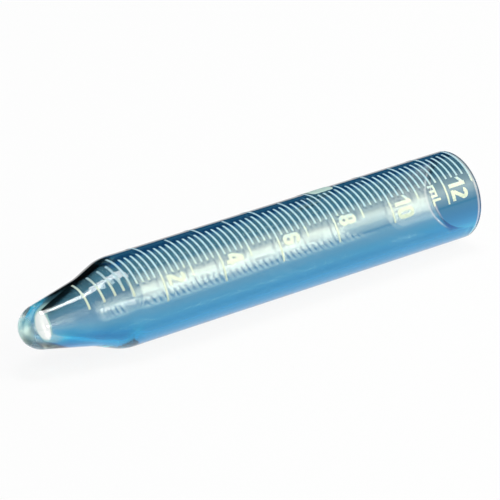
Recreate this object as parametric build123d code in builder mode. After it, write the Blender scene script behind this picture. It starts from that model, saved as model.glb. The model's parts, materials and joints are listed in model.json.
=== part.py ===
from build123d import *
import os
from math import asin, atan2, cos, degrees, hypot, pi, radians, sin

# Graduated conical glass tube of the kind spun in a bench centrifuge, lying on its side.
# The tube's axis runs along X, with the tip towards -X and the mouth towards +X. Z = 0 is the
# surface that the barrel rests on, and the origin is under the middle of the tube. Stations along
# the tube are distances from the tip. Angles around it start at -Y and go up towards +Z.

# ---------------------------------------------------------------- driving dimensions (mm)

# outside of the glass
barrel_diameter = 17.0
nose_radius = 4.1
knee_station = 14.0
knee_radius = 6.3
shoulder_station = 19.8
knee_blend = 14.0
shoulder_blend = 8.8
rim_round = 0.7

# inside of the glass
wall = 1.57
cone_wall = 2.0
tip_thickness = 4.5
well_radius = 1.9
well_length = 7.5
funnel_length = 7.3
well_corner = 0.5
funnel_blend = 6.0

# scale, in millilitres and in millimetres
top_volume = 13
first_barrel_volume = 1
divisions_per_ml = 5
mouth_margin = 1.3
line_width = 0.42
short_line_length = 6.4
odd_line_length = 10.2
even_line_length = 15.9
scale_angle = 62.0
scale_twist_per_mm = 0.107

# enamel print
enamel_thickness = 0.04
digit_height = 3.85
digit_width = 2.05
digit_stroke = 0.75
digit_gap = 0.2
numeral_side_gap = 0.2
numeral_line_gap = 1.0
unit_height = 2.0
unit_x_height = 1.5
unit_m_width = 2.4
unit_l_width = 1.25
unit_stroke = 0.45
unit_gap = 0.35
unit_line_gap = 1.7
spot_after_volume = 8
spot_arc_length = 8.0
spot_clearance = 0.75
spot_corner = 0.8

# ---------------------------------------------------------------- derived sizes

barrel_radius = barrel_diameter / 2
bore_radius = barrel_radius - wall
inner_knee_radius = knee_radius - cone_wall
inner_knee_station = tip_thickness + well_length
inner_shoulder_station = inner_knee_station + funnel_length
microlitres_per_ml = 1000


def station_of(volume_ml):
    """Distance from the tip to the level of a filled volume, with the tube held upright."""
    remaining = volume_ml * microlitres_per_ml
    chambers = [
        (tip_thickness, well_radius, inner_knee_station, inner_knee_radius),
        (inner_knee_station, inner_knee_radius, inner_shoulder_station, bore_radius),
    ]
    for low, low_radius, high, high_radius in chambers:
        squares = low_radius**2 + low_radius * high_radius + high_radius**2
        chamber_volume = pi * (high - low) * squares / 3
        if remaining < chamber_volume:
            slope = (high_radius - low_radius) / (high - low)
            level_radius = (low_radius**3 + 3 * slope * remaining / pi) ** (1 / 3)
            return low + (level_radius - low_radius) / slope
        remaining -= chamber_volume
    return inner_shoulder_station + remaining / (pi * bore_radius**2)


# the tube ends a little above its top line
tube_length = station_of(top_volume) + mouth_margin
axis_height = barrel_radius
tip_x = -tube_length / 2
tube_axis = Axis((0, 0, axis_height), (1, 0, 0))
side_plane = Plane(origin=(tip_x, 0, axis_height), x_dir=(1, 0, 0), z_dir=(0, -1, 0))


def nose_tangent(radius):
    """Point where the taper leaves the round nose, as (station, radius)."""
    run = knee_station - nose_radius
    rise = knee_radius
    taper_angle = atan2(rise, run) - asin(nose_radius / hypot(run, rise))
    return nose_radius - radius * sin(taper_angle), radius * cos(taper_angle)


def outside_profile(growth):
    """Half profile of the outside as a face, made larger all round by growth."""
    nose_end = nose_tangent(nose_radius + growth)
    nose_middle = (nose_radius + growth) / 2**0.5
    with BuildSketch(side_plane) as profile:
        with BuildLine():
            ThreePointArc((-growth, 0), (nose_radius - nose_middle, nose_middle), nose_end)
            FilletPolyline(
                nose_end,
                (knee_station, knee_radius + growth),
                (shoulder_station, barrel_radius + growth),
                (tube_length, barrel_radius + growth),
                radius=[knee_blend, shoulder_blend],
            )
            Line((tube_length, barrel_radius + growth), (tube_length, 0))
            Line((tube_length, 0), (-growth, 0))
        make_face()
    return profile.sketch


# ---------------------------------------------------------------- glass tube

with BuildPart() as glass_tube:
    revolve(outside_profile(0).faces(), axis=tube_axis)
    rim_edge = glass_tube.edges().filter_by(GeomType.CIRCLE).sort_by(Axis.X)[-1]
    fillet(rim_edge, radius=min(rim_round, 0.45 * wall))
    with BuildSketch(side_plane):
        with BuildLine():
            FilletPolyline(
                (tip_thickness, 0),
                (tip_thickness, well_radius),
                (inner_knee_station, inner_knee_radius),
                (inner_shoulder_station, bore_radius),
                (tube_length, bore_radius),
                radius=[well_corner, knee_blend, funnel_blend],
            )
            Line((tube_length, bore_radius), (tube_length, 0))
            Line((tube_length, 0), (tip_thickness, 0))
        make_face()
    revolve(axis=tube_axis, mode=Mode.SUBTRACT)
    mouth_edge = glass_tube.edges().filter_by(GeomType.CIRCLE).group_by(Axis.X)[-1].sort_by(
        SortBy.RADIUS
    )[0]
    fillet(mouth_edge, radius=min(rim_round, 0.45 * wall))
glass_tube.part.label = "glass_tube"

# ---------------------------------------------------------------- enamel film

# The print is one thin film on the outside of the glass. Each mark is the piece of this film that
# lies inside the mark's outline, so it sits on the glass face to face, on the cone too.
with BuildPart() as enamel_film:
    revolve(outside_profile(enamel_thickness).faces(), axis=tube_axis)
    revolve(outside_profile(0).faces(), axis=tube_axis, mode=Mode.SUBTRACT)


def radius_at(station):
    """Outside radius of the glass, with the blends left out."""
    if station >= shoulder_station:
        return barrel_radius
    nose_end_station, nose_end_radius = nose_tangent(nose_radius)
    if station >= knee_station:
        share = (station - knee_station) / (shoulder_station - knee_station)
        return knee_radius + share * (barrel_radius - knee_radius)
    share = (station - nose_end_station) / (knee_station - nose_end_station)
    return nose_end_radius + share * (knee_radius - nose_end_radius)


def middle_angle(station):
    """Angle of the scale's centre line, which winds slowly around the tube."""
    return scale_angle + scale_twist_per_mm * station


def line_sector(station, arc_length):
    """Sector across the tube, as a face, that cuts one scale line out of the film."""
    reach = 2 * barrel_radius
    span = degrees(arc_length / radius_at(station))
    start = middle_angle(station) - span / 2
    cross_plane = Plane(
        origin=(tip_x + station, 0, axis_height), x_dir=(0, -1, 0), z_dir=(-1, 0, 0)
    )
    with BuildSketch(cross_plane) as sector:
        with BuildLine():
            sweep_arc = CenterArc((0, 0), reach, start, span)
            Line((0, 0), sweep_arc @ 0)
            Line(sweep_arc @ 1, (0, 0))
        make_face()
    return sector.sketch


def cut_lines(volumes, arc_length):
    """Scale lines at the given volumes, as curved strips of the film."""
    for volume in volumes:
        sector = line_sector(station_of(volume), arc_length)
        extrude(sector.faces(), amount=line_width / 2, both=True)
    add(enamel_film.part, mode=Mode.INTERSECT)


all_steps = range(1, top_volume * divisions_per_ml + 1)
fine_volumes = [step / divisions_per_ml for step in all_steps if step % divisions_per_ml]
cone_volumes = [volume for volume in fine_volumes if volume < first_barrel_volume]
barrel_volumes = [volume for volume in fine_volumes if volume > first_barrel_volume]
odd_volumes = range(1, top_volume + 1, 2)
even_volumes = range(2, top_volume + 1, 2)

# ---------------------------------------------------------------- scale lines

with BuildPart() as cone_lines:
    cut_lines(cone_volumes, short_line_length)
cone_lines.part.label = "cone_lines"

with BuildPart() as fine_lines:
    cut_lines(barrel_volumes, short_line_length)
fine_lines.part.label = "fine_lines"

with BuildPart() as odd_ml_lines:
    cut_lines(odd_volumes, odd_line_length)
odd_ml_lines.part.label = "odd_ml_lines"

with BuildPart() as even_ml_lines:
    cut_lines(even_volumes, even_line_length)
even_ml_lines.part.label = "even_ml_lines"

# ---------------------------------------------------------------- digits

# Each digit is drawn in a cell of digit_width by digit_height, centred on the origin.
half_width = digit_width / 2
half_height = digit_height / 2
# corner radius of a loop as a share of its width, just under a full round end
loop_corner = 0.48


def draw_loop(width, height):
    """Closed loop of one stroke, such as a nought."""
    inner_width = width - 2 * digit_stroke
    inner_height = height - 2 * digit_stroke
    RectangleRounded(width, height, loop_corner * width)
    RectangleRounded(inner_width, inner_height, loop_corner * inner_width, mode=Mode.SUBTRACT)


def trim_to_cell():
    """Cuts off what the mitred strokes leave outside the digit's cell."""
    Rectangle(digit_width, digit_height, mode=Mode.INTERSECT)


with BuildSketch() as digit_0:
    draw_loop(digit_width, digit_height)

with BuildSketch() as digit_1:
    stem_x = 0.18 * digit_width
    flag_drop = 0.24 * digit_height
    with Locations((stem_x, 0)):
        Rectangle(digit_stroke, digit_height)
    with BuildLine():
        Polyline(
            (stem_x, half_height),
            (-half_width, half_height - flag_drop),
            (-half_width, half_height - flag_drop - digit_stroke),
            (stem_x, half_height - digit_stroke),
            close=True,
        )
    make_face()
    trim_to_cell()

with BuildSketch() as digit_2:
    bowl_radius = half_width - digit_stroke / 2
    bowl_centre = (0, half_height - half_width)
    with BuildLine():
        bowl = CenterArc(bowl_centre, bowl_radius, 165, -205)
        Line(bowl @ 1, (-half_width + digit_stroke / 2, -half_height + digit_stroke))
    trace(line_width=digit_stroke)
    with Locations((0, -half_height + digit_stroke / 2)):
        Rectangle(digit_width, digit_stroke)
    trim_to_cell()

with BuildSketch() as digit_4:
    upright_x = 0.2 * digit_width
    bar_y = -0.22 * digit_height
    with Locations((upright_x, 0)):
        Rectangle(digit_stroke, digit_height)
    with Locations((0, bar_y)):
        Rectangle(digit_width, digit_stroke)
    with BuildLine():
        Line((upright_x - digit_stroke / 4, half_height), (-half_width, bar_y))
    trace(line_width=digit_stroke)
    with Locations((0, bar_y - digit_stroke)):
        Rectangle(digit_stroke, digit_stroke, mode=Mode.SUBTRACT)
    with Locations((upright_x, 0)):
        Rectangle(digit_stroke, digit_height)
    trim_to_cell()

with BuildSketch() as digit_6:
    bowl_height = 0.6 * digit_height
    draw_loop(digit_width, digit_height)
    with Locations((half_width / 2, 0.13 * digit_height)):
        Rectangle(half_width, 0.2 * digit_height, mode=Mode.SUBTRACT)
    with Locations((0, (bowl_height - digit_height) / 2)):
        draw_loop(digit_width, bowl_height)

with BuildSketch() as digit_8:
    lower_height = 0.57 * digit_height
    upper_height = digit_height - lower_height + digit_stroke
    with Locations((0, (lower_height - digit_height) / 2)):
        draw_loop(digit_width, lower_height)
    with Locations((0, (digit_height - upper_height) / 2)):
        draw_loop(0.93 * digit_width, upper_height)

digits = {"0": digit_0, "1": digit_1, "2": digit_2, "4": digit_4, "6": digit_6, "8": digit_8}

# ---------------------------------------------------------------- numerals


def reading_plane(station, side_distance):
    """Plane that faces outwards, with its Y towards the mouth and its X down the scale's side."""
    angle = radians(middle_angle(station)) - side_distance / barrel_radius
    return Plane(
        origin=(tip_x + station, -bore_radius * cos(angle), axis_height + bore_radius * sin(angle)),
        x_dir=(0, -sin(angle), -cos(angle)),
        z_dir=(0, -cos(angle), sin(angle)),
    )


def numeral_width(text):
    """Width of a number's row of digit cells."""
    return len(text) * digit_width + (len(text) - 1) * digit_gap


def cut_numeral(text):
    """Number beside its own line, on the line's mouth side, cut out of the film."""
    row_width = numeral_width(text)
    station = station_of(int(text)) + numeral_line_gap + digit_height / 2
    side_distance = short_line_length / 2 + numeral_side_gap + row_width / 2
    with BuildSketch(reading_plane(station, side_distance)) as row:
        for place, character in enumerate(text):
            cell_x = (digit_width - row_width) / 2 + place * (digit_width + digit_gap)
            with Locations((cell_x, 0)):
                add(digits[character].sketch)
    extrude(row.sketch.faces(), amount=2 * wall)
    add(enamel_film.part, mode=Mode.INTERSECT)


with BuildPart() as numeral_2:
    cut_numeral("2")
numeral_2.part.label = "numeral_2"

with BuildPart() as numeral_4:
    cut_numeral("4")
numeral_4.part.label = "numeral_4"

with BuildPart() as numeral_6:
    cut_numeral("6")
numeral_6.part.label = "numeral_6"

with BuildPart() as numeral_8:
    cut_numeral("8")
numeral_8.part.label = "numeral_8"

with BuildPart() as numeral_10:
    cut_numeral("10")
numeral_10.part.label = "numeral_10"

with BuildPart() as numeral_12:
    cut_numeral("12")
numeral_12.part.label = "numeral_12"

# ---------------------------------------------------------------- unit mark

# The letters mL stand on the tip side of the highest even line.
with BuildPart() as unit_mark:
    unit_width = unit_m_width + unit_gap + unit_l_width
    unit_station = station_of(even_volumes[-1]) - unit_line_gap - unit_height / 2
    counter_width = (unit_m_width - 3 * unit_stroke) / 2
    counter_height = unit_x_height - unit_stroke
    m_x = (unit_m_width - unit_width) / 2
    m_y = (unit_x_height - unit_height) / 2
    l_x = (unit_width - unit_l_width) / 2
    unit_side_distance = short_line_length / 2 + numeral_side_gap + unit_width / 2
    with BuildSketch(reading_plane(unit_station, unit_side_distance)):
        with Locations((m_x, m_y)):
            Rectangle(unit_m_width, unit_x_height)
        with Locations((m_x, m_y - unit_stroke / 2)):
            with GridLocations(counter_width + unit_stroke, 0, 2, 1):
                Rectangle(counter_width, counter_height, mode=Mode.SUBTRACT)
        with Locations((l_x - (unit_l_width - unit_stroke) / 2, 0)):
            Rectangle(unit_stroke, unit_height)
        with Locations((l_x, (unit_stroke - unit_height) / 2)):
            Rectangle(unit_l_width, unit_stroke)
    extrude(amount=2 * wall)
    add(enamel_film.part, mode=Mode.INTERSECT)
unit_mark.part.label = "unit_mark"

# ---------------------------------------------------------------- write-on spot

# A bare patch of enamel on the far side, between two whole-millilitre lines.
with BuildPart() as write_on_spot:
    spot_low = station_of(spot_after_volume) + spot_clearance
    spot_high = station_of(spot_after_volume + 1) - spot_clearance
    spot_station = (spot_low + spot_high) / 2
    spot_side_distance = -(short_line_length / 2 + spot_clearance + spot_arc_length / 2)
    with BuildSketch(reading_plane(spot_station, spot_side_distance)):
        RectangleRounded(spot_arc_length, spot_high - spot_low, spot_corner)
    extrude(amount=2 * wall)
    add(enamel_film.part, mode=Mode.INTERSECT)
write_on_spot.part.label = "write_on_spot"

# ---------------------------------------------------------------- files

pieces = [
    glass_tube,
    cone_lines,
    fine_lines,
    odd_ml_lines,
    even_ml_lines,
    numeral_2,
    numeral_4,
    numeral_6,
    numeral_8,
    numeral_10,
    numeral_12,
    unit_mark,
    write_on_spot,
]

os.makedirs("parts", exist_ok=True)
for piece in pieces:
    export_step(piece.part, f"parts/{piece.part.label}.step")

print(f"tube length {tube_length:.2f} mm, {pi * bore_radius**2:.1f} mm2 bore")
print("stations", [round(station_of(v), 2) for v in (0.2, 0.4, 0.6, 0.8, 1, 1.2, 2, 12, 13)])
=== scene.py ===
# %% [markdown]
# # A graduated conical test tube in glass and white enamel
# The tube lies on its side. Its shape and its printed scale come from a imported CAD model, which
# stays where it is. This script gives each piece its finish, turns a smooth glass body in place of
# the faceted one, and sets a small studio around it: a pale floor, four lamps and a dim room.

# %% Load the frame
import json
from math import asin, atan2, cos, degrees, hypot, pi, radians, sin, tan

import bmesh
import bpy
from mathutils import Matrix, Vector

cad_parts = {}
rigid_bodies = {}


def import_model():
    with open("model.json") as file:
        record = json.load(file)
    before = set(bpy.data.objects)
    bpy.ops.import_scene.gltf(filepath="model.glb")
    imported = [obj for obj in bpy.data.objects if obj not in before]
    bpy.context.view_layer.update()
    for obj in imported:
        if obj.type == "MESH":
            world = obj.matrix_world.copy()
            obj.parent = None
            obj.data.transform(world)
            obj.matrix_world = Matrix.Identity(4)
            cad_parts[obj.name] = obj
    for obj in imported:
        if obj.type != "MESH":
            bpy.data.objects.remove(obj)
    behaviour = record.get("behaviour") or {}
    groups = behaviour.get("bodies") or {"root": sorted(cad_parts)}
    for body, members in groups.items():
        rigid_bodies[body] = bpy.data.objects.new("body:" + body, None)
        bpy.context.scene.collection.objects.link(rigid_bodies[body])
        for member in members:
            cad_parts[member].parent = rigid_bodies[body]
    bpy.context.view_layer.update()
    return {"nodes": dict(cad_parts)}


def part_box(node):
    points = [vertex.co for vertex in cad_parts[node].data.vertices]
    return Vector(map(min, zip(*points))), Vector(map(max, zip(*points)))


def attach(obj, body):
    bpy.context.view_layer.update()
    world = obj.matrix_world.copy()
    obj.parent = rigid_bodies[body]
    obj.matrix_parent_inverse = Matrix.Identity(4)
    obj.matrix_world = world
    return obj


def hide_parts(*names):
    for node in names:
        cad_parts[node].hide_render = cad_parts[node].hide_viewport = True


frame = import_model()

MM = 0.001
scene = bpy.context.scene
print("CAD nodes:", sorted(frame["nodes"]))

# %% [markdown]
# ## The glass body
# A test tube is drawn from glass tubing: a flame closes one end to a round, thick tip, a mould
# shapes the cone, and the mouth is melted smooth. Everything on it is round about one axis, so it
# is made the way a lathe makes it: half of its outline is drawn once, outside and inside, and then
# spun around the axis. The smooth shading of a spun mesh matters here, because glass shows each
# facet twice, once where it mirrors and once where it bends the light.

# %% Sizes of the glass
glass_low, glass_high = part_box("glass_tube")
tip_x = glass_low.x
mouth_x = glass_high.x
barrel_radius = (glass_high.z - glass_low.z) / 2
axis_z = glass_low.z + barrel_radius
tube_length = mouth_x - tip_x

nose_radius = 4.1 * MM
knee_station = 14.0 * MM
knee_radius = 6.3 * MM
shoulder_station = 19.8 * MM
knee_blend = 14.0 * MM
shoulder_blend = 8.8 * MM
rim_round = 0.7 * MM

wall = 1.57 * MM
cone_wall = 2.0 * MM
tip_thickness = 4.5 * MM
well_radius = 1.9 * MM
well_length = 7.5 * MM
funnel_length = 7.3 * MM
well_corner = 0.5 * MM
funnel_blend = 6.0 * MM

bore_radius = barrel_radius - wall
inner_knee_station = tip_thickness + well_length
inner_shoulder_station = inner_knee_station + funnel_length
inner_knee_radius = knee_radius - cone_wall
middle_radius = (barrel_radius + bore_radius) / 2
print(f"tube {tube_length / MM:.2f} mm long, {2 * barrel_radius / MM:.2f} mm across")

# %% [markdown]
# The outline is drawn with a pen that knows two strokes. A straight stroke extrudes the last
# vertex in short steps, so that the smooth shading of a bend doesn't leak along the barrel. A bend
# spins the last vertex about the bend's centre, which gives a true arc.

# %% Strokes of the pen
run_step = 2.0 * MM
bend_step = radians(3)


def draw_run(outline, pen, end):
    """Straight stroke from the pen's vertex to end, in short steps. Gives the vertex at its end."""
    start = pen.co.copy()
    steps = max(1, round((end - start).length / run_step))
    for step in range(1, steps + 1):
        pen = bmesh.ops.extrude_vert_indiv(outline, verts=[pen])["verts"][0]
        pen.co = start.lerp(end, step / steps)
    return pen


def draw_bend(outline, pen, centre, turn):
    """Arc from the pen's vertex about centre. Gives the vertex at its end."""
    drawn = bmesh.ops.spin(
        outline,
        geom=[pen],
        cent=centre,
        axis=(0, -1, 0),
        angle=turn,
        steps=max(2, round(abs(turn) / bend_step)),
    )
    return [item for item in drawn["geom_last"] if isinstance(item, bmesh.types.BMVert)][0]


# %% [markdown]
# Hot glass takes no sharp corner. So the outline is given as a few corner points, each with the
# radius of the bend that rounds it, and the pen draws straight up to where that bend begins.

# %% Rounded corners
def draw_corners(outline, pen, corners):
    """Strokes through corners, a list of (point, blend radius), with each corner rounded."""
    points = [pen.co.copy()] + [point for point, blend in corners]
    for place, (corner, blend) in enumerate(corners[:-1], start=1):
        towards = (corner - points[place - 1]).normalized()
        onwards = (points[place + 1] - corner).normalized()
        sideways = towards.x * onwards.z - towards.z * onwards.x
        turn = atan2(sideways, towards.dot(onwards))
        tangent = blend * tan(abs(turn) / 2)
        pen = draw_run(outline, pen, corner - towards * tangent)
        side = 1 if turn > 0 else -1
        centre = pen.co + side * blend * Vector((-towards.z, 0, towards.x))
        pen = draw_bend(outline, pen, centre, turn)
    return draw_run(outline, pen, points[-1])


def on_profile(station, radius):
    """Point of the half outline in the row frame, above the axis."""
    return Vector((tip_x + station, 0, axis_z + radius))


# %% Corners of the glass
taper_run = knee_station - nose_radius
taper_angle = atan2(knee_radius, taper_run) - asin(nose_radius / hypot(taper_run, knee_radius))
outside_corners = [
    (on_profile(knee_station, knee_radius), knee_blend),
    (on_profile(shoulder_station, barrel_radius), shoulder_blend),
    (on_profile(tube_length, barrel_radius), rim_round),
    (on_profile(tube_length, middle_radius), 0),
]
bore_corners = [
    (on_profile(tube_length, bore_radius), rim_round),
    (on_profile(inner_shoulder_station, bore_radius), funnel_blend),
    (on_profile(inner_knee_station, inner_knee_radius), knee_blend),
    (on_profile(tip_thickness, well_radius), well_corner),
    (on_profile(tip_thickness, 0), 0),
]
print(f"taper of {degrees(taper_angle):.1f} degrees behind the tip")

# %% [markdown]
# Each half outline now goes once around the axis. The steps are fine, because the edge of a glass
# tube is seen as sharply as its streaks, and a full spin merges its last step with its first, so
# that the shell has no seam.

# %% Draw and spin the outside
spin_steps = 256


def spin_outline(outline, name):
    """Turns the whole outline once around the tube's axis. Gives the shell as a mesh."""
    bmesh.ops.spin(
        outline,
        geom=outline.verts[:] + outline.edges[:],
        cent=on_profile(0, 0),
        axis=(1, 0, 0),
        angle=2 * pi,
        steps=spin_steps,
        use_merge=True,
    )
    shell = bpy.data.meshes.new(name)
    outline.to_mesh(shell)
    outline.free()
    print(name, "has", len(shell.polygons), "faces")
    return shell


outline = bmesh.new()
pen = outline.verts.new(on_profile(0, 0))
pen = draw_bend(outline, pen, on_profile(nose_radius, 0), -(pi / 2 - taper_angle))
draw_corners(outline, pen, outside_corners)
outside_shell = spin_outline(outline, "outside_shell")

# %% Draw and spin the bore
outline = bmesh.new()
pen = outline.verts.new(on_profile(tube_length, middle_radius))
draw_corners(outline, pen, bore_corners)
bore_shell = spin_outline(outline, "bore_shell")

# %% [markdown]
# The two shells meet on the middle of the rim. Joined, with their doubles merged, they bound the
# glass itself. The faces remember which shell they came from, so that the skin and the bore can
# have finishes of their own.

# %% Join the shells
OUTSIDE, BORE = 0, 1
weld_distance = 0.0005 * MM
glass_shape = bmesh.new()
glass_shape.from_mesh(outside_shell)
outside_count = len(glass_shape.faces)
glass_shape.from_mesh(bore_shell)
glass_shape.faces.ensure_lookup_table()
for face in glass_shape.faces:
    face.smooth = True
    face.material_index = OUTSIDE if face.index < outside_count else BORE
bmesh.ops.remove_doubles(glass_shape, verts=glass_shape.verts[:], dist=weld_distance)
bmesh.ops.recalc_face_normals(glass_shape, faces=glass_shape.faces[:])
glass_volume = glass_shape.calc_volume() / MM**3
print(f"glass body: {len(glass_shape.faces)} faces, {glass_volume:.0f} mm3")

glass_mesh = bpy.data.meshes.new("glass_body")
glass_shape.to_mesh(glass_mesh)
glass_shape.free()
for shell in (outside_shell, bore_shell):
    bpy.data.meshes.remove(shell)
glass_body = bpy.data.objects.new("glass_body", glass_mesh)
scene.collection.objects.link(glass_body)
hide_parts("glass_tube")
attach(glass_body, "root")

# %% [markdown]
# ## Finishes
# Clear glass hands on the colours around it, and this tube is to look as it does on a blue bench.
# So the blue of the bench seen through the glass, and the shade and dark edges seen in it, are
# painted into the skin of the glass as a blue cast. The skin holds all of it and the bore is clear,
# because light that turns round inside the wall near the edge of the tube crosses the skin as often
# as light that goes straight through, and so the edge gets as deep a colour as the middle.

# %% Materials and ramps
def new_material(name):
    """Node material with a Principled shader. Gives the material, its nodes and its links."""
    material = bpy.data.materials.new(name)
    material.use_nodes = True
    nodes = material.node_tree.nodes
    return material, nodes, material.node_tree.links, nodes["Principled BSDF"]


def set_ramp(ramp, stops):
    """Fills a colour ramp from a list of (position, linear colour)."""
    elements = ramp.color_ramp.elements
    while len(elements) > 1:
        elements.remove(elements[-1])
    for place, (position, colour) in enumerate(stops):
        element = elements[0] if place == 0 else elements.new(position)
        element.position = position
        element.color = (*colour, 1)


# %% [markdown]
# The finishes are put together from a few kinds of node. A fade turns a place into a soft mask, a
# mix lays one colour over another, a maths node combines two values, and Object coordinates tell
# where on the piece a point lies, so that every pattern stays fixed to the glass.

# %% Nodes for patterns
def add_fade(nodes, links, value, start, end):
    """Soft step that rises from 0 to 1 as value goes from start to end. Gives its output."""
    fade = nodes.new("ShaderNodeMapRange")
    fade.interpolation_type = "SMOOTHSTEP"
    fade.inputs["From Min"].default_value = start
    fade.inputs["From Max"].default_value = end
    links.new(value, fade.inputs["Value"])
    return fade.outputs["Result"]


def add_mix(nodes, links, kind, factor, first, second):
    """Mixes two colours, each a socket or a linear colour. Gives the mixed colour's output."""
    mixer = nodes.new("ShaderNodeMix")
    mixer.data_type = "RGBA"
    mixer.blend_type = kind
    for name, value in (("Factor", factor), ("A", first), ("B", second)):
        if isinstance(value, tuple):
            mixer.inputs[name].default_value = (*value, 1)
        elif isinstance(value, (int, float)):
            mixer.inputs[name].default_value = value
        else:
            links.new(value, mixer.inputs[name])
    return mixer.outputs["Result"]


def add_maths(nodes, links, kind, first, second):
    """Maths node on two values, each a socket or a number. Gives its output."""
    maths = nodes.new("ShaderNodeMath")
    maths.operation = kind
    for place, value in enumerate((first, second)):
        if isinstance(value, (int, float)):
            maths.inputs[place].default_value = value
        else:
            links.new(value, maths.inputs[place])
    return maths.outputs[0]


def split_place(nodes, links):
    """Object coordinates, in metres in the row frame. Gives the node with outputs X, Y and Z."""
    place = nodes.new("ShaderNodeTexCoord")
    split = nodes.new("ShaderNodeSeparateXYZ")
    links.new(place.outputs["Object"], split.inputs["Vector"])
    return split


# %% [markdown]
# The painted cast changes around the tube, so it is a ramp over the angle. The barrel's skin is
# clear from the front up to the top, painted azure below the front and a fuller blue underneath
# for the bench seen through it, and painted navy shade up the back. Crossing the skin once tints
# light by the square root of the colour, so the colours below are deeper than the cast that they
# give.

# %% Painted cast of the barrel, as (degrees up from the front, colour)
painted_barrel_stops = [
    (-180, (0.0060, 0.039, 0.072)),
    (-166, (0.0066, 0.043, 0.095)),
    (-150, (0.0075, 0.062, 0.150)),
    (-137, (0.0100, 0.090, 0.225)),
    (-128, (0.0060, 0.110, 0.280)),
    (-113, (0.0010, 0.120, 0.360)),
    (-101, (0.0010, 0.140, 0.410)),
    (-89, (0.0010, 0.168, 0.450)),
    (-61, (0.004, 0.30, 0.60)),
    (-24, (0.006, 0.32, 0.63)),
    (-15, (0.10, 0.50, 0.78)),
    (-9, (0.40, 0.70, 0.85)),
    (0, (0.80, 0.88, 0.92)),
    (10, (0.86, 0.93, 0.95)),
    (85, (0.86, 0.93, 0.95)),
    (91, (0.60, 0.75, 0.80)),
    (96, (0.20, 0.35, 0.45)),
    (100, (0.0040, 0.0225, 0.032)),
    (120, (0.0036, 0.0215, 0.035)),
    (135, (0.0036, 0.0245, 0.040)),
    (157, (0.0042, 0.030, 0.053)),
    (180, (0.0060, 0.039, 0.072)),
]
print("barrel cast:", len(painted_barrel_stops), "stops")

# %% [markdown]
# Seen from the tip's side, a line of sight close to the mouth goes in through the near wall and
# out of the opening, and never meets the far wall. The near wall has to give the painted cast by
# itself there, so its skin is painted deep blue in front too. The tip is nearly solid: it is clear
# in front, painted azure below for the bench seen through it, and has the faint green of thick
# glass behind, darkened there by painted shade. The cone wears the barrel's painted cast,
# multiplied by painted shade that darkens its upper back and a painted highlight that lifts one
# narrow line below its front.

# %% Painted casts of the mouth and the tip, and the cone's painted shade and highlight
painted_mouth_stops = [
    (-180, (0.0060, 0.039, 0.072)),
    (-100, (0.0010, 0.130, 0.400)),
    (-60, (0.0040, 0.300, 0.600)),
    (-29, (0.0060, 0.320, 0.630)),
    (-20, (0.0025, 0.180, 0.500)),
    (-14, (0.0015, 0.100, 0.360)),
    (-6, (0.0010, 0.066, 0.260)),
    (2, (0.0012, 0.052, 0.200)),
    (17, (0.0025, 0.050, 0.145)),
    (42, (0.0060, 0.046, 0.095)),
    (65, (0.0034, 0.028, 0.056)),
    (85, (0.0060, 0.040, 0.080)),
    (120, (0.0036, 0.0215, 0.035)),
    (180, (0.0060, 0.039, 0.072)),
]
tip_green_and_painted_stops = [
    (-180, (0.12, 0.30, 0.27)),
    (-110, (0.10, 0.30, 0.34)),
    (-60, (0.08, 0.36, 0.55)),
    (-30, (0.22, 0.50, 0.66)),
    (0, (0.97, 0.99, 0.98)),
    (85, (0.93, 0.97, 0.95)),
    (100, (0.30, 0.45, 0.42)),
    (130, (0.12, 0.30, 0.27)),
    (180, (0.12, 0.30, 0.27)),
]
# painted shade darkens the cone's upper back, and a painted highlight lifts a narrow line below its
# front
painted_cone_light_stops = [
    (-180, (0.80, 0.80, 0.80)),
    (-166, (1.00, 1.00, 1.00)),
    (-64, (1.00, 1.00, 1.00)),
    (-60, (3.00, 1.60, 1.50)),
    (-47, (3.00, 1.60, 1.50)),
    (-43, (1.00, 1.00, 1.00)),
    (95, (1.00, 1.00, 1.00)),
    (100, (0.12, 0.10, 0.09)),
    (125, (0.12, 0.10, 0.09)),
    (150, (0.25, 0.20, 0.18)),
    (170, (0.60, 0.55, 0.50)),
    (180, (0.80, 0.80, 0.80)),
]
clear = (0.95, 0.98, 0.96)
edge_green = (0.42, 0.62, 0.50)
# colour of the painted highlight on the melted rim
painted_rim_highlight = (0.70, 0.82, 0.88)
print("casts of the ends:", len(painted_mouth_stops), len(tip_green_and_painted_stops), len(painted_cone_light_stops), "stops")

# %% [markdown]
# The angle around the tube comes from a point's height above the axis and its distance before it.
# A Map Range node brings it to the 0 to 1 that a ramp takes.

# %% Glass with an angle around it
glass_ior = 1.47

glass, nodes, links, shader = new_material("glass_with_painted_cast")
shader.inputs["Transmission Weight"].default_value = 1
shader.inputs["IOR"].default_value = glass_ior
split = split_place(nodes, links)
above_axis = add_maths(nodes, links, "SUBTRACT", split.outputs["Z"], axis_z)
before_axis = add_maths(nodes, links, "MULTIPLY", split.outputs["Y"], -1)
turn = add_maths(nodes, links, "ARCTAN2", above_axis, before_axis)
around = nodes.new("ShaderNodeMapRange")
around.inputs["From Min"].default_value = -pi
around.inputs["From Max"].default_value = pi
links.new(turn, around.inputs["Value"])


def add_painted_cast(stops):
    """Painted cast around the tube from a list of (degrees up from the front, colour)."""
    ramp = nodes.new("ShaderNodeValToRGB")
    set_ramp(ramp, [((angle + 180) / 360, colour) for angle, colour in stops])
    links.new(around.outputs["Result"], ramp.inputs["Fac"])
    return ramp.outputs["Color"]


# %% [markdown]
# The zones along the tube are masks, each given as the two places between which it fades. The
# mouth's zone of painted deep blue leans: it reaches back furthest on the front and upper side, so
# that for someone who looks at the scale from the tip's side it has the oval outline of the opening.
# The lean is painted fixed on the glass, and from other sides it shows as a slanting edge.

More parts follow.
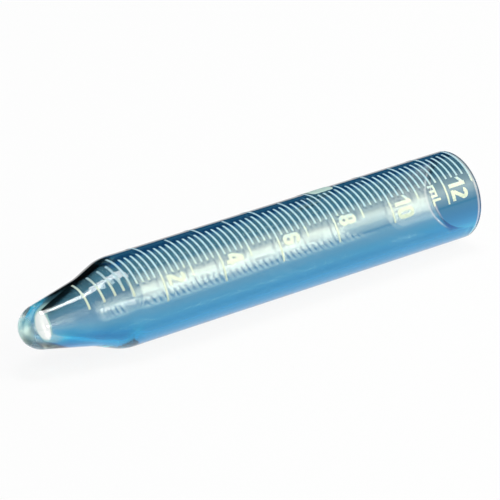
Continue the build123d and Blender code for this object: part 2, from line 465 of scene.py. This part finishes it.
# %% Zones along the tube
mouth_lean_y = -1.14
mouth_lean_z = 0.646
mouth_starts = (mouth_x - 1.0 * MM, mouth_x + 0.2 * MM)
tip_ends = (tip_x + 5.5 * MM, tip_x + 7.5 * MM)
painted_cone_light_starts = (tip_x + 6.0 * MM, tip_x + 8.0 * MM)
painted_cone_light_ends = (tip_x + 22.0 * MM, tip_x + 17.0 * MM)


def fade_along(ends):
    """Mask along the tube that rises from 0 to 1 between two places on the X axis."""
    return add_fade(nodes, links, split.outputs["X"], *ends)


lean_y = add_maths(nodes, links, "MULTIPLY", split.outputs["Y"], mouth_lean_y)
lean_z = add_maths(nodes, links, "MULTIPLY", above_axis, mouth_lean_z)
lean = add_maths(nodes, links, "ADD", lean_y, lean_z)
leaning_x = add_maths(nodes, links, "ADD", split.outputs["X"], lean)
# mask of the painted deep blue near the mouth
painted_mouth_zone = add_fade(nodes, links, leaning_x, *mouth_starts)
painted_cone_light_zone = add_maths(nodes, links, "MULTIPLY", fade_along(painted_cone_light_starts), fade_along(painted_cone_light_ends))

# painted cast of the barrel, multiplied on the cone by its painted shade and painted highlight
skin = add_mix(nodes, links, "MULTIPLY", painted_cone_light_zone, add_painted_cast(painted_barrel_stops), add_painted_cast(painted_cone_light_stops))
skin = add_mix(nodes, links, "MIX", painted_mouth_zone, skin, add_painted_cast(painted_mouth_stops))
skin = add_mix(nodes, links, "MIX", fade_along(tip_ends), add_painted_cast(tip_green_and_painted_stops), skin)
print(f"the cone's shade ends {(painted_cone_light_ends[0] - tip_x) / MM:.0f} mm from the tip")

# %% [markdown]
# Three touches finish the skin. The nose of the tip is clear, and its very end has the green of
# thick glass and a slight haze. A thin pale ring is a painted highlight for the light that the
# melted rim gathers.

# %% Nose and painted rim highlight
nose_ends = (tip_x + 2.0 * MM, tip_x + 4.0 * MM)
green_ends = (tip_x + 0.5 * MM, tip_x + 1.3 * MM)
haze_ends = (tip_x + 1.6 * MM, tip_x + 0.8 * MM)
haze_roughness = 0.3
rim_highlight_starts = (mouth_x - 1.25 * MM, mouth_x - 1.05 * MM)
rim_highlight_ends = (mouth_x - 0.65 * MM, mouth_x - 0.85 * MM)
rim_highlight_strength = 0.3

skin = add_mix(nodes, links, "MIX", fade_along(nose_ends), clear, skin)
skin = add_mix(nodes, links, "MIX", fade_along(green_ends), edge_green, skin)
# painted highlight ring near the rim
rim_highlight = add_maths(nodes, links, "MULTIPLY", fade_along(rim_highlight_starts), fade_along(rim_highlight_ends))
rim_highlight = add_maths(nodes, links, "MULTIPLY", rim_highlight, rim_highlight_strength)
skin = add_mix(nodes, links, "MIX", rim_highlight, skin, painted_rim_highlight)
haze = add_maths(nodes, links, "MULTIPLY", fade_along(haze_ends), haze_roughness)
links.new(skin, shader.inputs["Base Color"])
links.new(haze, shader.inputs["Roughness"])
glass_mesh.materials.append(glass)
print("skin material has", len(nodes), "nodes")

# %% [markdown]
# The bore is the same glass without a cast. Drawn tubing is smooth inside, so its roughness is 0.

# %% Bore
bore_glass, nodes, links, shader = new_material("clear_bore_glass")
shader.inputs["Transmission Weight"].default_value = 1
shader.inputs["Roughness"].default_value = 0
shader.inputs["IOR"].default_value = glass_ior
shader.inputs["Base Color"].default_value = (1, 1, 1, 1)
glass_mesh.materials.append(bore_glass)
print("glass materials:", [material.name for material in glass_mesh.materials])

# %% [markdown]
# The scale is screen-printed in enamel and fired on. Its colour over the height is painted light:
# blue-green at mid height, cream above that and pale blue at the top, for the blue and the warm
# light that fall on the tube at those heights, and the print's grain leaves it a little uneven.
# The scale and the spot for writing share one node group for this, each with its own values. Its
# ramp of painted light runs over the height on the tube.

# %% Painted light on the coat, as (share of the tube's height, colour)
painted_coat_light_stops = [
    (0.50, (0.25, 0.42, 0.48)),
    (0.60, (0.38, 0.54, 0.52)),
    (0.72, (0.68, 0.76, 0.60)),
    (0.83, (0.66, 0.76, 0.64)),
    (0.88, (0.49, 0.66, 0.70)),
    (0.93, (0.43, 0.65, 0.76)),
    (1.00, (0.52, 0.73, 0.83)),
]
grain_low = 0.3
grain_high = 0.7
grain_detail = 3
grain_roughness = 0.6
coat_unevenness = 0.06
print("coat colours:", len(painted_coat_light_stops), "stops")

# %% Fired coat node group, with the painted light over the height
coat = bpy.data.node_groups.new("fired_coat", "ShaderNodeTree")
for name, kind, value in (
    ("Coat", "NodeSocketColor", (1, 1, 1, 1)),
    ("Grain Scale", "NodeSocketFloat", 2500),
    ("Smooth", "NodeSocketFloat", 0.3),
    ("Rough", "NodeSocketFloat", 0.5),
):
    socket = coat.interface.new_socket(name, in_out="INPUT", socket_type=kind)
    socket.default_value = value
for name, kind in (
    ("Color", "NodeSocketColor"),
    ("Roughness", "NodeSocketFloat"),
    ("Height", "NodeSocketFloat"),
):
    coat.interface.new_socket(name, in_out="OUTPUT", socket_type=kind)

nodes, links = coat.nodes, coat.links
given = nodes.new("NodeGroupInput")
result = nodes.new("NodeGroupOutput")
split = split_place(nodes, links)
grain = nodes.new("ShaderNodeTexNoise")
grain.inputs["Detail"].default_value = grain_detail
grain.inputs["Roughness"].default_value = grain_roughness
links.new(split.inputs["Vector"].links[0].from_socket, grain.inputs["Vector"])
links.new(given.outputs["Grain Scale"], grain.inputs["Scale"])
climb = nodes.new("ShaderNodeMapRange")
climb.inputs["From Max"].default_value = 2 * barrel_radius
links.new(split.outputs["Z"], climb.inputs["Value"])
uneven = nodes.new("ShaderNodeMapRange")
uneven.inputs["From Min"].default_value = grain_low
uneven.inputs["From Max"].default_value = grain_high
uneven.inputs["To Min"].default_value = -coat_unevenness
uneven.inputs["To Max"].default_value = coat_unevenness
links.new(grain.outputs["Fac"], uneven.inputs["Value"])
height = add_maths(nodes, links, "ADD", climb.outputs["Result"], uneven.outputs["Result"])
# painted light: the coat's colour by height stands for the light that falls there
painted_coat_light = nodes.new("ShaderNodeValToRGB")
set_ramp(painted_coat_light, painted_coat_light_stops)
links.new(height, painted_coat_light.inputs["Fac"])
body = add_mix(nodes, links, "MULTIPLY", 1.0, painted_coat_light.outputs["Color"], given.outputs["Coat"])
links.new(body, result.inputs["Color"])
gloss = nodes.new("ShaderNodeMapRange")
gloss.inputs["From Min"].default_value = grain_low
gloss.inputs["From Max"].default_value = grain_high
links.new(given.outputs["Smooth"], gloss.inputs["To Min"])
links.new(given.outputs["Rough"], gloss.inputs["To Max"])
links.new(grain.outputs["Fac"], gloss.inputs["Value"])
links.new(gloss.outputs["Result"], result.inputs["Roughness"])
links.new(grain.outputs["Fac"], result.inputs["Height"])
print("coat group:", [item.name for item in coat.interface.items_tree])


# %% [markdown]
# The scale's enamel is satin and fine-grained, and the spot is matt, coarser and warmer, so that
# a pencil takes on it. A faint bump from the same grain breaks up their gloss. The enamel pieces
# keep the CAD model's own meshes, whose old materials are cleared first.

# %% Scale and spot enamel
def new_enamel(name, values, relief):
    """Enamel material around the fired coat group, with the group's values and relief in metres."""
    material, nodes, links, shader = new_material(name)
    fired = nodes.new("ShaderNodeGroup")
    fired.node_tree = coat
    for socket, value in values.items():
        fired.inputs[socket].default_value = value
    links.new(fired.outputs["Color"], shader.inputs["Base Color"])
    links.new(fired.outputs["Roughness"], shader.inputs["Roughness"])
    bump = nodes.new("ShaderNodeBump")
    bump.inputs["Distance"].default_value = relief
    links.new(fired.outputs["Height"], bump.inputs["Height"])
    links.new(bump.outputs["Normal"], shader.inputs["Normal"])
    return material


scale_relief = 0.01 * MM
spot_relief = 0.02 * MM
scale_enamel = new_enamel(
    "scale_enamel",
    {"Coat": (1, 1, 1, 1), "Grain Scale": 2500, "Smooth": 0.2, "Rough": 0.4},
    scale_relief,
)
spot_enamel = new_enamel(
    "matt_spot_enamel",
    {"Coat": (1, 0.96, 0.8, 1), "Grain Scale": 1200, "Smooth": 0.7, "Rough": 0.9},
    spot_relief,
)
for name, node in frame["nodes"].items():
    if name != "glass_tube":
        node.data.materials.clear()
        node.data.materials.append(spot_enamel if name == "write_on_spot" else scale_enamel)
        print(name, "wears", node.data.materials[0].name)

# %% [markdown]
# ## The studio
# The floor is matt white paper. It glows a little towards the camera and through the glass, so
# that it stays white there without more light on the tube, and the rest of its colour takes the
# lamps' light and keeps the tube's shadow.

# %% Floor
floor_reach = 20
floor_mesh = bpy.data.meshes.new("floor")
sheet = bmesh.new()
bmesh.ops.create_grid(sheet, x_segments=1, y_segments=1, size=floor_reach)
sheet.to_mesh(floor_mesh)
sheet.free()
floor = bpy.data.objects.new("floor", floor_mesh)
scene.collection.objects.link(floor)
print(f"floor reaches {floor_reach} m each way")

# %% Paper that glows towards the camera
paper_glow = 0.9

paper, nodes, links, shader = new_material("white_paper")
shader.inputs["Base Color"].default_value = (0.88, 0.89, 0.93, 1)
shader.inputs["Roughness"].default_value = 0.9
rays = nodes.new("ShaderNodeLightPath")
seen = rays.outputs["Is Camera Ray"]
for kind in ("Is Glossy Ray", "Is Transmission Ray"):
    seen = add_maths(nodes, links, "MAXIMUM", seen, rays.outputs[kind])
share = add_maths(nodes, links, "MULTIPLY", seen, paper_glow)
glow = nodes.new("ShaderNodeEmission")
glow.inputs["Color"].default_value = (1, 1, 1, 1)
glow.inputs["Strength"].default_value = 1
mix = nodes.new("ShaderNodeMixShader")
links.new(share, mix.inputs["Fac"])
links.new(shader.outputs["BSDF"], mix.inputs[1])
links.new(glow.outputs["Emission"], mix.inputs[2])
links.new(mix.outputs["Shader"], nodes["Material Output"].inputs["Surface"])
floor_mesh.materials.append(paper)
print("floor wears", paper.name)

# %% [markdown]
# A round glass shows each lamp as a streak along it, and how high the streak lies tells how high
# the lamp hangs. So the big softbox to the front gives the warm band on the barrel, and its shade
# makes the band strong in the middle and soft towards its edges and towards the mouth. A small
# panel low in front gives the soft patch on the shoulder. The cone leans back and sees more of the
# ceiling, so the lamp overhead gives its streak, and the overhead strip carries the streak on
# towards the tip.

# %% Hanging a lamp
def hang_lamp(name, direction, distance, slide, size, radiance, colour, up_shade, along_shade):
    """Rectangular lamp that faces the tube, then slides in its own plane. size is its width along
    the tube and its height. The shades list (position, strength) up and along the lamp."""
    width, tall = size
    lamp_data = bpy.data.lights.new(name, "AREA")
    lamp_data.shape = "RECTANGLE"
    lamp_data.size = width
    lamp_data.size_y = tall
    lamp_data.energy = radiance * pi * width * tall
    lamp_data.color = colour
    lamp = bpy.data.objects.new(name, lamp_data)
    scene.collection.objects.link(lamp)
    facing = direction.normalized()
    along = Vector((1, 0, 0))
    width_axis = (along - facing * along.dot(facing)).normalized()
    height_axis = facing.cross(width_axis)
    lamp.location = Vector((0, 0, axis_z)) + facing * distance
    lamp.location += width_axis * slide[0] + height_axis * slide[1]
    lamp.rotation_mode = "QUATERNION"
    lamp.rotation_quaternion = Matrix((width_axis, height_axis, facing)).transposed().to_quaternion()
    lamp.visible_camera = False
    lamp_data.use_nodes = True
    nodes = lamp_data.node_tree.nodes
    links = lamp_data.node_tree.links
    spot = nodes.new("ShaderNodeNewGeometry")
    split = nodes.new("ShaderNodeSeparateXYZ")
    links.new(spot.outputs["Parametric"], split.inputs["Vector"])
    both = nodes.new("ShaderNodeMath")
    both.operation = "MULTIPLY"
    for place, (output, shade) in enumerate((("X", along_shade), ("Y", up_shade))):
        ramp = nodes.new("ShaderNodeValToRGB")
        ramp.color_ramp.interpolation = "EASE"
        set_ramp(ramp, [(position, (value, value, value)) for position, value in shade])
        links.new(split.outputs[output], ramp.inputs["Fac"])
        links.new(ramp.outputs["Color"], both.inputs[place])
    links.new(both.outputs[0], nodes["Emission"].inputs["Strength"])
    print(f"{name}: {width:.2f} x {tall:.2f} m, {lamp_data.energy:.1f} W")


# %% Softbox for the band
band_height = radians(46)
mouthwards = 0.5676
sidewards = 0.8233
band_up_shade = [
    (0, 0),
    (0.08, 0.28),
    (0.18, 0.4),
    (0.33, 0.8),
    (0.45, 1),
    (0.52, 0.85),
    (0.6, 0.55),
    (0.75, 0.42),
    (0.88, 0.3),
    (0.95, 0.1),
    (1, 0),
]
band_along_shade = [(0, 0), (0.12, 0.95), (0.3, 1), (0.55, 0.7), (0.8, 0.35), (1, 0)]
hang_lamp(
    "strip_softbox",
    direction=Vector((mouthwards, -sidewards * cos(band_height), sidewards * sin(band_height))),
    distance=0.8,
    slide=(0.10, 0),
    size=(0.46, 1.04),
    radiance=8.2,
    colour=(1, 0.97, 0.72),
    up_shade=band_up_shade,
    along_shade=band_along_shade,
)

# %% Panel in front and lamps overhead
soft_edge = [(0, 0), (0.25, 1), (0.75, 1), (1, 0)]
firm_edge = [(0, 0), (0.12, 1), (0.88, 1), (1, 0)]
hang_lamp(
    "front_panel",
    direction=Vector((-0.04, -0.94, 0.34)),
    distance=0.85,
    slide=(0, 0),
    size=(0.25, 0.27),
    radiance=5.5,
    colour=(1, 1, 0.96),
    up_shade=soft_edge,
    along_shade=soft_edge,
)
hang_lamp(
    "overhead_lamp",
    direction=Vector((0.035, 0.05, 0.99)),
    distance=1,
    slide=(0, 0),
    size=(0.27, 0.40),
    radiance=13,
    colour=(1, 1, 0.98),
    up_shade=firm_edge,
    along_shade=firm_edge,
)
hang_lamp(
    "overhead_strip",
    direction=Vector((0.195, -0.09, 0.97)),
    distance=1,
    slide=(0, 0),
    size=(0.15, 0.28),
    radiance=12,
    colour=(1, 1, 0.98),
    up_shade=firm_edge,
    along_shade=firm_edge,
)

# %% [markdown]
# The rest of the room is dim. Its front wall gives a soft fill. Behind the tube it is black, which
# draws the dark lines along the upper edge of the cone, apart from a low blue glow behind the
# mouth end that turns the upper edge of the barrel navy. Past the mouth stands a lit wall, whose
# light runs along inside the glass to the rim and the tip. The masks below read the direction in
# which a ray leaves: X towards the mouth, Y to the back and Z up.

# %% Walls of the room
back_wall = (0.01, 0.01, 0.01)
front_wall = (0.32, 0.34, 0.37)
blue_glow = (0.015, 0.18, 0.44)
lit_wall = (1.7, 1.8, 1.75)
front_fades = (0.3, -0.6)
behind_fades = (0.2, 0.5)
mouth_side_fades = (0.40, 0.52)
low_fades = (0.80, 0.55)
lit_wall_fades = (0.70, 0.82)

room = bpy.data.worlds.new("dim_room")
scene.world = room
room.use_nodes = True
nodes = room.node_tree.nodes
links = room.node_tree.links
gaze = nodes.new("ShaderNodeTexCoord")
split = nodes.new("ShaderNodeSeparateXYZ")
links.new(gaze.outputs["Generated"], split.inputs["Vector"])
front = add_fade(nodes, links, split.outputs["Y"], *front_fades)
behind = add_fade(nodes, links, split.outputs["Y"], *behind_fades)
mouth_side = add_fade(nodes, links, split.outputs["X"], *mouth_side_fades)
low_down = add_fade(nodes, links, split.outputs["Z"], *low_fades)
past_mouth = add_fade(nodes, links, split.outputs["X"], *lit_wall_fades)
glow_place = add_maths(nodes, links, "MULTIPLY", mouth_side, low_down)
glow_place = add_maths(nodes, links, "MULTIPLY", glow_place, behind)
wall = add_mix(nodes, links, "MIX", front, back_wall, front_wall)
wall = add_mix(nodes, links, "MIX", glow_place, wall, blue_glow)
wall = add_mix(nodes, links, "MIX", past_mouth, wall, lit_wall)
links.new(wall, nodes["Background"].inputs["Color"])
nodes["Background"].inputs["Strength"].default_value = 1
print("room:", room.name, "with", len(nodes), "nodes")

# %% [markdown]
# The camera stands in front of the tube, on the tip's side and somewhat above it. It looks from a
# distance through a long lens, which keeps the barrel's edges nearly parallel.

# %% Camera
azimuth = radians(-38.36)
elevation = radians(23.86)
camera_distance = 0.774
lens_length = 304.9
target = Vector((1.05, 0, 10.34)) * MM
back = Vector((sin(azimuth) * cos(elevation), -cos(azimuth) * cos(elevation), sin(elevation)))
camera_data = bpy.data.cameras.new("camera")
camera_data.sensor_width = 36
camera_data.lens = lens_length
camera_data.clip_start = 0.01
camera = bpy.data.objects.new("camera", camera_data)
scene.collection.objects.link(camera)
camera.location = target + back * camera_distance
camera.rotation_mode = "QUATERNION"
camera.rotation_quaternion = (-back).to_track_quat("-Z", "Y")
scene.camera = camera
print(f"camera {camera_distance} m away, lens {lens_length} mm")

# %% [markdown]
# Light that is caught in a glass wall turns round many times before it comes out, and each turn is
# a bounce. When the bounces run out the light is lost, so glass this thick is given many.

# %% View and bounces
light_bounces = 200
scene.view_settings.view_transform = "Standard"
scene.cycles.max_bounces = light_bounces
scene.cycles.transmission_bounces = light_bounces
scene.cycles.glossy_bounces = light_bounces
print("bounces:", light_bounces)
